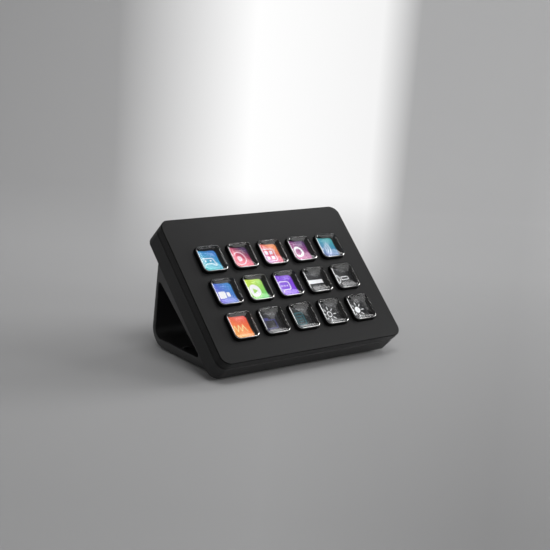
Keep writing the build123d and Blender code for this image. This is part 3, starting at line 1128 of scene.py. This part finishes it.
@dataclass
class Dressing:
    """Gives every construction node that stays in view its finish."""

    finishes: dict[str, Finish] = field(default_factory=lambda: {
        "stand_plastic": MouldedPlastic("stand_black", (0.014, 0.014, 0.0145), 0.36, specular=0.9),
        "case_plastic": MouldedPlastic("case_black", (0.012, 0.012, 0.0123), 0.48, specular=0.4),
        "faceplate_plastic": MouldedPlastic(
            "faceplate_black", (0.0034, 0.0034, 0.0036), 0.36, 0.22 * MM, 0.003 * MM, specular=0.25
        ),
        "frame_plastic": MouldedPlastic("frame_black", (0.006, 0.006, 0.006), 0.6),
        "mat_rubber": MouldedRubber("mat_silicone", (0.008, 0.008, 0.008)),
        "foot_rubber": MouldedRubber("foot_rubber", (0.035, 0.035, 0.037)),
        "contact_film": StripedFilm("contact_film", (0.006, 0.006, 0.007), (0.012, 0.012, 0.013)),
        "display_glass": DarkGlass("display_glass"),
        "tray_metal": DrawnMetal("pressed_tray", (0.7, 0.71, 0.73)),
        "ribbon_film": StripedFilm("amber_ribbon", (0.42, 0.2, 0.04), (0.6, 0.36, 0.12)),
        "board_laminate": SolderMask("solder_mask", (0.01, 0.08, 0.04), (0.04, 0.2, 0.09)),
        "chip_plastic": MouldedPlastic("chip_epoxy", (0.02, 0.02, 0.021), 0.6),
        "socket_steel": DrawnMetal("socket_steel", (0.62, 0.62, 0.64), 0.25),
        "tongue_plastic": MouldedPlastic("tongue_black", (0.012, 0.012, 0.012), 0.45),
        "screw_steel": DrawnMetal("blackened_steel", (0.1, 0.1, 0.105), 0.38),
        "clear_key": ClearAcrylic("key_acrylic"),
    })
    eased: tuple[EasedPart, ...] = (
        EasedPart("stand_shell", "stand_moulding", Bodies.STAND, "stand_plastic", 0.25 * MM),
        EasedPart("rear_case", "case_moulding", Bodies.PAD, "case_plastic", 0.2 * MM),
    )

    def dress(self) -> dict[str, bpy.types.Material]:
        """Puts each finish on its nodes.

        Returns:
            The finished materials by slot name.
        """
        made = {slot: finish.material() for slot, finish in self.finishes.items()}
        for part in frame["record"]["subparts"]:
            node = frame["nodes"][part["node"]]
            node.data.materials.clear()
            node.data.materials.append(made[part["material_slot"]])
            log.info("%s is finished as %s", part["node"], part["material_slot"])
        for part in self.eased:
            part.build()
        return made


class Sign(Enum):
    """The generic signs shown under the keys."""

    GAMEPAD = "gamepad"
    RECORD = "record"
    TILES = "tiles"
    RING = "ring"
    WAVES = "waves"
    CAMERA = "camera"
    PLAY = "play"
    SPEECH = "speech"
    BAR = "bar"
    TORCH = "torch"
    ZIGZAG = "zigzag"
    FOLDER = "folder"
    PAGE = "page"
    SUN = "sun"
    FULL_SUN = "full_sun"


@dataclass
class SignDrawing:
    """Draws a sign as flat shapes on a bench, in units of the picture's side."""

    bench: Bench
    size: float
    level: float
    steps: int = 40
    panel_steps: int = 5
    shape_steps: int = 4

    def at(self, x: float, y: float) -> tuple[float, float, float]:
        """Gives a point of the sign on the bench."""
        return x * self.size, y * self.size, self.level

    def disc(self, x: float, y: float, radius: float) -> None:
        """Draws a filled disc, which stays selected."""
        bpy.ops.mesh.primitive_circle_add(
            vertices=self.steps, radius=radius * self.size, fill_type="NGON", location=self.at(x, y)
        )

    def ring(self, x: float, y: float, radius: float, line: float) -> None:
        """Draws a circle's outline, whose outer edge has this radius."""
        self.disc(x, y, radius)
        self.hollow(line)

    def hollow(self, line: float) -> None:
        """Turns the selected flat shape into its outline.

        Args:
            line: The outline's width.
        """
        bpy.context.tool_settings.mesh_select_mode = Kind.FACES.value
        bpy.ops.mesh.inset(thickness=line * self.size)
        bpy.ops.mesh.delete(type="FACE")

    def panel(self, x: float, y: float, width: float, height: float, corner: float) -> None:
        """Draws a filled rectangle with rounded corners, which stays selected.

        Args:
            x: Its middle across.
            y: Its middle up.
            width: Its width.
            height: Its height.
            corner: Its corners' radius, or 0.
        """
        self.bench.sheet(width * self.size, height * self.size, self.at(x, y))
        if corner > 0:
            self.bench.round_corners(corner * self.size, self.panel_steps)

    def frame(self, x: float, y: float, width: float, height: float, corner: float, line: float) -> None:
        """Draws the outline of a rectangle with rounded corners."""
        self.panel(x, y, width, height, corner)
        self.hollow(line)

    def shape(self, points: Sequence[Pair], corner: float) -> None:
        """Draws a filled polygon with rounded corners, which stays selected.

        Args:
            points: Its corners, in order.
            corner: The corners' radius.
        """
        self.bench.clear()
        bpy.ops.mesh.primitive_circle_add(
            vertices=len(points), radius=self.size, fill_type="NGON", location=self.at(0, 0)
        )
        mesh = bmesh.from_edit_mesh(self.bench.piece.data)
        drawn = next(face for face in mesh.faces if face.select)
        for vertex, point in zip(drawn.verts, points):
            vertex.co = Vector(self.at(*point))
        bmesh.update_edit_mesh(self.bench.piece.data)
        if corner > 0:
            self.bench.round_corners(corner * self.size, self.shape_steps)

    def outline(self, points: Sequence[Pair], corner: float, line: float) -> None:
        """Draws the outline of a polygon with rounded corners."""
        self.shape(points, corner)
        self.hollow(line)

    def path(self, points: Sequence[Pair], line: float) -> None:
        """Draws strokes from point to point."""
        for start, end in zip(points, points[1:]):
            self.stroke(start, end, line)

    def stroke(self, start: Pair, end: Pair, line: float) -> None:
        """Draws a straight stroke with round ends.

        Args:
            start: One end.
            end: The other end.
            line: The stroke's width.
        """
        middle = Vector(self.at(*start))
        run = Vector(self.at(*end)) - middle
        self.bench.clear()
        self.disc(*start, line / 2)
        mesh = bmesh.from_edit_mesh(self.bench.piece.data)
        fresh = [vertex for vertex in mesh.verts if vertex.select]
        bpy.context.tool_settings.mesh_select_mode = Kind.VERTICES.value
        for vertex in fresh:
            vertex.select = (vertex.co - middle).dot(run) > 0
        mesh.select_flush_mode()
        bmesh.update_edit_mesh(self.bench.piece.data)
        bpy.ops.transform.translate(value=run)

    def arc(self, x: float, y: float, radius: float, line: float, half_angle: float) -> None:
        """Draws the part of a circle's outline that lies near the x axis.

        Args:
            x: The circle's centre across.
            y: The circle's centre up.
            radius: The outer radius.
            line: The line's width.
            half_angle: Degrees to either side of the x axis.
        """
        centre = Vector(self.at(x, y))
        self.bench.clear()
        self.ring(x, y, radius, line)
        for side in (-1, 1):
            turn = math.radians(half_angle)
            cut = Vector((-math.sin(turn), side * math.cos(turn), 0))
            self.bench.pick(
                Kind.FACES,
                lambda middle, normal: middle.z > self.level / 2
                and (middle - centre).length < radius * self.size + HAIR,
            )
            bpy.ops.mesh.bisect(plane_co=centre, plane_no=cut, clear_outer=True)


@dataclass(frozen=True)
class Picture:
    """What one key shows: its sign, its ground and the colour of its lines."""

    sign: Sign
    ground: tuple[tuple[float, Colour], ...] = ((0.0, (0.008, 0.008, 0.009)), (1.0, (0.014, 0.014, 0.015)))
    line: Colour = WHITE
    angle: float = 60.0
    line_strength: float = 1.0


PICTURES: dict[tuple[int, int], Picture] = {
    (1, 1): Picture(Sign.GAMEPAD, ((0.0, (0.02, 0.60, 0.56)), (1.0, (0.05, 0.22, 0.60)))),
    (1, 2): Picture(
        Sign.RECORD,
        ((0.0, (0.90, 0.09, 0.16)), (0.5, (0.82, 0.06, 0.14)), (1.0, (0.07, 0.03, 0.10))),
        (1.0, 0.78, 0.82),
        angle=50,
    ),
    (1, 3): Picture(
        Sign.TILES,
        ((0.0, (0.28, 0.10, 0.60)), (0.5, (0.80, 0.09, 0.20)), (1.0, (0.90, 0.30, 0.10))),
        (0.95, 0.9, 1.0),
        angle=50,
    ),
    (1, 4): Picture(Sign.RING, ((0.0, (0.72, 0.12, 0.36)), (1.0, (0.12, 0.04, 0.17)))),
    (1, 5): Picture(
        Sign.WAVES,
        ((0.0, (0.12, 0.13, 0.42)), (0.6, (0.04, 0.25, 0.44)), (1.0, (0.08, 0.42, 0.44))),
        (0.85, 0.9, 1.0),
        angle=70,
    ),
    (2, 1): Picture(Sign.CAMERA, ((0.0, (0.15, 0.07, 0.68)), (1.0, (0.05, 0.25, 0.62))), angle=35),
    (2, 2): Picture(Sign.PLAY, ((0.0, (0.12, 0.66, 0.16)), (1.0, (0.66, 0.84, 0.08))), angle=125),
    (2, 3): Picture(Sign.SPEECH, ((0.0, (0.30, 0.10, 0.88)), (1.0, (0.22, 0.06, 0.70)))),
    (2, 4): Picture(Sign.BAR),
    (2, 5): Picture(Sign.TORCH),
    (3, 1): Picture(
        Sign.ZIGZAG,
        ((0.0, (0.98, 0.50, 0.10)), (0.6, (0.97, 0.20, 0.05)), (1.0, (0.85, 0.09, 0.06))),
        (1.0, 0.8, 0.35),
        angle=70,
    ),
    (3, 2): Picture(Sign.FOLDER, line=(0.13, 0.13, 0.50), line_strength=0.5),
    (3, 3): Picture(Sign.PAGE, line=(0.01, 0.30, 0.36), line_strength=0.5),
    (3, 4): Picture(Sign.SUN),
    (3, 5): Picture(Sign.FULL_SUN),
}


@dataclass
class KeyPictures:
    """The lit parts of the display: a square ground and a sign under each key."""

    face: TiltedFace
    places: dict[str, Pair]
    side: float = 14.26 * MM
    corner: float = 2.2 * MM
    corner_steps: int = 6
    lift: float = 0.03 * MM
    sign_lift: float = 0.03 * MM
    mark_lift: float = 0.045 * MM
    line: float = 0.04

    def draw(self, bench: Bench, sign: Sign) -> None:
        """Draws one sign, in shares of the picture's side from its middle.

        Args:
            bench: The picture under work.
            sign: Which sign.
        """
        d = SignDrawing(bench, self.side, self.sign_lift)
        line = self.line
        if sign is Sign.GAMEPAD:
            right = ((0.25, 0.18), (0.34, -0.15), (0.27, -0.21), (0.14, -0.08))
            d.outline([*right, *((-x, y) for x, y in reversed(right))], 0.045, 0.032)
            d.disc(-0.12, 0.06, 0.04)
            d.disc(0.12, 0.06, 0.04)
        elif sign is Sign.RECORD:
            d.ring(0, 0, 0.30, line)
            d.disc(0, 0, 0.12)
        elif sign is Sign.TILES:
            d.frame(0, 0, 0.6, 0.6, 0.1, line)
            for x in (-0.12, 0.12):
                for y in (-0.12, 0.12):
                    d.panel(x, y, 0.16, 0.16, 0.02)
        elif sign is Sign.RING:
            d.ring(0, 0, 0.25, 0.1)
        elif sign is Sign.WAVES:
            for radius in (0.42, 0.3, 0.18):
                d.arc(-0.2, 0, radius, 0.045, 45)
            d.disc(-0.2, 0, 0.05)
        elif sign is Sign.CAMERA:
            d.panel(-0.07, 0, 0.36, 0.3, 0.06)
            d.panel(0.22, 0, 0.14, 0.2, 0.03)
        elif sign is Sign.PLAY:
            d.disc(0, 0, 0.27)
            mark = SignDrawing(bench, self.side, self.mark_lift)
            mark.shape(((-0.08, -0.12), (0.14, 0.0), (-0.08, 0.12)), 0.02)
        elif sign is Sign.SPEECH:
            d.frame(0, 0.04, 0.56, 0.4, 0.12, line)
            for x in (-0.14, 0, 0.14):
                d.disc(x, 0.04, 0.035)
            d.stroke((-0.14, -0.17), (-0.2, -0.28), line)
        elif sign is Sign.BAR:
            d.panel(0, 0.04, 0.96, 0.17, 0)
        elif sign is Sign.TORCH:
            d.frame(0.17, 0.03, 0.42, 0.17, 0.07, line)
            d.arc(-0.28, 0.0, 0.2, line, 90)
            d.stroke((-0.28, -0.18), (-0.28, 0.18), line)
        elif sign is Sign.ZIGZAG:
            d.path([(-0.3 + 0.1 * index, -0.13 if index % 2 == 0 else 0.13) for index in range(7)], line)
        elif sign is Sign.FOLDER:
            d.frame(0, -0.03, 0.56, 0.4, 0.05, line)
            d.panel(-0.14, 0.2, 0.24, 0.08, 0.03)
        elif sign is Sign.PAGE:
            d.frame(0, 0, 0.42, 0.54, 0.05, line)
            for y in (-0.12, 0.0, 0.12):
                d.stroke((-0.1, y), (0.1, y), line)
        else:
            if sign is Sign.SUN:
                d.ring(0, 0, 0.13, line)
            else:
                d.disc(0, 0, 0.14)
            for index in range(8):
                turn = math.radians(45 * index)
                start = (0.21 * math.cos(turn), 0.21 * math.sin(turn))
                end = (0.31 * math.cos(turn), 0.31 * math.sin(turn))
                d.stroke(start, end, line)

    def build(self) -> None:
        """Makes a picture under every key."""
        level = max(point.z for point in self.face.points("display_glass")) + self.lift
        for node, (x, v) in self.places.items():
            row, column = (int(text[3:]) for text in node.split("_")[-2:])
            picture = PICTURES[row, column]
            bench = Bench(f"picture_row{row}_col{column}")
            middle = self.face.matrix(x, v, level).translation
            ground = LitPicture(f"ground_row{row}_col{column}", picture.ground, picture.angle)
            bench.add_material(ground.material(self.face, middle, self.side))
            lines = LitLine(f"lines_row{row}_col{column}", picture.line, picture.line_strength)
            drawn = bench.add_material(lines.material())
            bench.sheet(self.side, self.side)
            bench.round_corners(self.corner, self.corner_steps)
            self.draw(bench, picture.sign)
            highest = (self.sign_lift + self.mark_lift) / 2
            bench.paint(drawn, lambda middle, normal: self.sign_lift / 2 < middle.z < highest)
            bench.pick(Kind.FACES, lambda middle, normal: normal.z < 0)
            bpy.ops.mesh.flip_normals()
            settle(bench.close(self.face.matrix(x, v, level)), Bodies.PAD.value)


# ------------------------------------------------------------------------------------- the studio
@dataclass(frozen=True)
class Eye:
    """The camera: a long lens looking a little down at the pad from its front left."""

    place: tuple[float, float, float] = (-0.396286, -0.475831, 0.198267)
    yaw: float = 39.681
    pitch: float = -14.255
    roll: float = 4.308
    lens: float = 80.707
    sensor: float = 36.0
    nearest: float = 0.05

    def build(self) -> None:
        """Makes the camera and looks through it."""
        yaw, pitch, roll = (math.radians(a) for a in (self.yaw, self.pitch, self.roll))
        ahead = Vector((math.sin(yaw) * math.cos(pitch), math.cos(yaw) * math.cos(pitch), math.sin(pitch)))
        right = Vector((math.cos(yaw), -math.sin(yaw), 0))
        up = right.cross(ahead)
        tilted_right = right * math.cos(roll) + up * math.sin(roll)
        tilted_up = up * math.cos(roll) - right * math.sin(roll)
        data = bpy.data.cameras.new("eye")
        data.lens = self.lens
        data.sensor_width = self.sensor
        data.clip_start = self.nearest
        camera = bpy.data.objects.new("eye", data)
        bpy.context.scene.collection.objects.link(camera)
        turned = Matrix((tilted_right, tilted_up, -ahead)).transposed().to_4x4()
        camera.matrix_world = Matrix.Translation(self.place) @ turned
        bpy.context.scene.camera = camera


@dataclass(frozen=True)
class Lamp:
    """A soft area lamp aimed at the pad."""

    name: str
    place: tuple[float, float, float]
    width: float
    height: float
    power: float
    aim: tuple[float, float, float] = (0.0, 0.0, 0.035)

    @classmethod
    def at(cls, name: str, bearing: float, rise: float, distance: float, width: float, height: float,
           radiance: float) -> "Lamp":
        """Places a lamp by its direction from the pad.

        Args:
            name: The lamp's name.
            bearing: Degrees from the pad's right towards its front.
            rise: Degrees above the table.
            distance: How far away it hangs.
            width: Its width.
            height: Its height.
            radiance: How bright its surface is, where a lit white wall is 1.

        Returns:
            The lamp.
        """
        turn, tilt = math.radians(bearing), math.radians(rise)
        flat = distance * math.cos(tilt)
        place = (flat * math.cos(turn), -flat * math.sin(turn), distance * math.sin(tilt))
        return cls(name, place, width, height, radiance * math.pi * width * height)

    def build(self) -> None:
        """Hangs the lamp."""
        data = bpy.data.lights.new(self.name, "AREA")
        data.shape = "RECTANGLE"
        data.size = self.width
        data.size_y = self.height
        data.energy = self.power
        lamp = bpy.data.objects.new(self.name, data)
        bpy.context.scene.collection.objects.link(lamp)
        lamp.location = self.place
        away = Vector(self.aim) - Vector(self.place)
        lamp.rotation_mode = "QUATERNION"
        lamp.rotation_quaternion = away.to_track_quat("-Z", "Y")


@dataclass(frozen=True)
class Sweep:
    """The pale floor that curves up into a backdrop, with painted shade on it and a painted soft white glow fanning
    out behind the pad.
    """

    colour: Colour = (0.475, 0.475, 0.479)
    roughness: float = 0.7
    cloud: float = 0.4
    mottle: Pair = (0.985, 1.015)
    width: float = 5.0
    front: float = 2.5
    back: float = 0.68
    height: float = 2.2
    bend: float = 0.28
    bend_steps: int = 24
    turn: float = 39.681
    fan_start: float = 0.62
    # where the painted glow shows: its shares across the fan and in depth
    fan_edges: tuple[Pair, ...] = ((-0.14, 0.0), (-0.03, 1.0), (0.07, 0.85), (0.1, 0.0))
    glow_depths: tuple[Pair, ...] = ((0.1, 0.0), (0.45, 1.0))
    # painted shade: shares that darken the paper's colour to one side of the fan and towards the front
    fan_painted_shade: tuple[Pair, ...] = ((0.0, 1.0), (0.2, 0.7))
    depth_painted_shade: tuple[Pair, ...] = ((-0.2, 0.75), (0.2, 1.0))

    def build(self) -> None:
        """Lays the floor and bends it up behind the pad."""
        bench = Bench("sweep")
        bench.sheet(self.width, self.front + self.back, (0, (self.back - self.front) / 2, 0))
        bench.pick(Kind.EDGES, lambda middle, run: middle.y > self.back - MM)
        bpy.ops.mesh.extrude_region_move(TRANSFORM_OT_translate={"value": (0, 0, self.height)})
        bench.pick(Kind.EDGES, lambda middle, run: middle.y > self.back - MM and middle.z < MM)
        bpy.ops.mesh.bevel(offset=self.bend, segments=self.bend_steps, affect="EDGES")
        bench.add_material(self.material())
        bench.close(Matrix.Rotation(-math.radians(self.turn), 4, "Z"))

    def tones(self, shading: Shading, place: Socket,
              stops: Sequence[Pair]) -> Socket:
        """Turns a place on the sweep into a share of brightness.

        Args:
            shading: The material under work.
            place: The place, in the stops' own unit.
            stops: Places and their shares, from the lowest place up.

        Returns:
            The share, which stays level beyond the first and last stop.
        """
        low, high = stops[0][0], stops[-1][0]
        listed = [((at - low) / (high - low), (share, share, share)) for at, share in stops]
        return shading.blend(shading.ranged(place, 0.0, 1.0, low, high), listed)

    def material(self) -> bpy.types.Material:
        """Builds the matt paper, with painted shade that darkens it away from the pad, and the painted glow on it.

        Returns:
            The sweep's material.
        """
        shading = Shading("pale_sweep")
        parts = shading.split(shading.coordinates(turn=(0, 0, -math.radians(self.turn))))
        fan = shading.math("DIVIDE", parts["X"], shading.math("ADD", parts["Y"], self.fan_start))
        depth = shading.math("ADD", parts["Y"], parts["Z"])
        # painted shade: the paper's colour is the product of the fan and depth shares
        tone = shading.math(
            "MULTIPLY", self.tones(shading, fan, self.fan_painted_shade), self.tones(shading, depth, self.depth_painted_shade)
        )
        clouds = shading.noise(shading.coordinates(), self.cloud)
        tone = shading.math("MULTIPLY", tone, shading.ranged(clouds, *self.mottle))
        shading.feed("Base Color", shading.blend(tone, ((0.0, BLACK), (1.0, self.colour))))
        shading.set(Roughness=self.roughness)
        # painted glow: emission that only camera, glossy and transmission rays see, so it lights nothing
        glow = shading.math(
            "MULTIPLY", self.tones(shading, fan, self.fan_edges), self.tones(shading, depth, self.glow_depths)
        )
        light = shading.node("LightPath")
        seen = shading.math("MAXIMUM", light.outputs["Is Camera Ray"], light.outputs["Is Glossy Ray"])
        seen = shading.math("MAXIMUM", seen, light.outputs["Is Transmission Ray"])
        mix = shading.node("MixShader")
        shading.link(shading.math("MULTIPLY", glow, seen), mix.inputs["Fac"])
        shading.link(shading.shader.outputs["BSDF"], mix.inputs[1])
        shading.link(shading.node("Emission").outputs["Emission"], mix.inputs[2])
        shading.link(mix.outputs["Shader"], shading.output.inputs["Surface"])
        return shading.material


@dataclass
class Studio:
    """The sweep, the lamps and the camera."""

    world_colour: Colour = (0.3, 0.3, 0.3)
    sweep: Sweep = Sweep()
    eye: Eye = Eye()
    lamps: tuple[Lamp, ...] = (
        Lamp.at("window_lamp", 16.0, 12.0, 1.0, 0.5, 0.3, 22.0),
        Lamp.at("top_lamp", 114.0, 69.0, 0.9, 0.45, 0.28, 6.0),
        Lamp.at("front_lamp", 51.0, 15.0, 1.0, 0.16, 0.4, 6.5),
        Lamp.at("soft_lamp", 33.0, 42.5, 1.1, 0.27, 0.3, 1.9),
        Lamp.at("rear_lamp", -4.0, 51.0, 1.0, 0.28, 0.28, 4.0),
    )

    def world(self) -> None:
        """Fills the room with even light."""
        world = bpy.data.worlds.new("room")
        world.use_nodes = True
        world.node_tree.nodes["Background"].inputs["Color"].default_value = (*self.world_colour, 1.0)
        bpy.context.scene.world = world

    def build(self) -> None:
        """Sets up the whole studio."""
        self.sweep.build()
        self.world()
        for lamp in self.lamps:
            lamp.build()
        self.eye.build()
        bpy.context.scene.view_settings.view_transform = "Standard"


def main() -> None:
    """Builds the dressed pad and the studio round it."""
    logging.basicConfig(level=logging.INFO, format="%(name)s: %(message)s")
    face = TiltedFace.from_frame()
    finishes = Dressing().dress()
    # painted shade: the darker, duller finish for the groove round the face
    shadow_line = MouldedPlastic("shadow_line_black", (0.003, 0.003, 0.003), 0.75, specular=0.15).material()
    Faceplate(face, shadow_line).build()
    edge = PolishedEdge("key_edge_polish").material()
    wall = MouldedPlastic(
        "key_wall_black", (0.003, 0.003, 0.003), 0.6, depth=0.001 * MM, specular=0.12
    ).material()
    places = KeyCaps(face, finishes["clear_key"], edge, wall).build()
    DomeMat(face, places).build()
    KeyPictures(face, places).build()
    Studio().build()


if __name__ == "__main__":
    main()
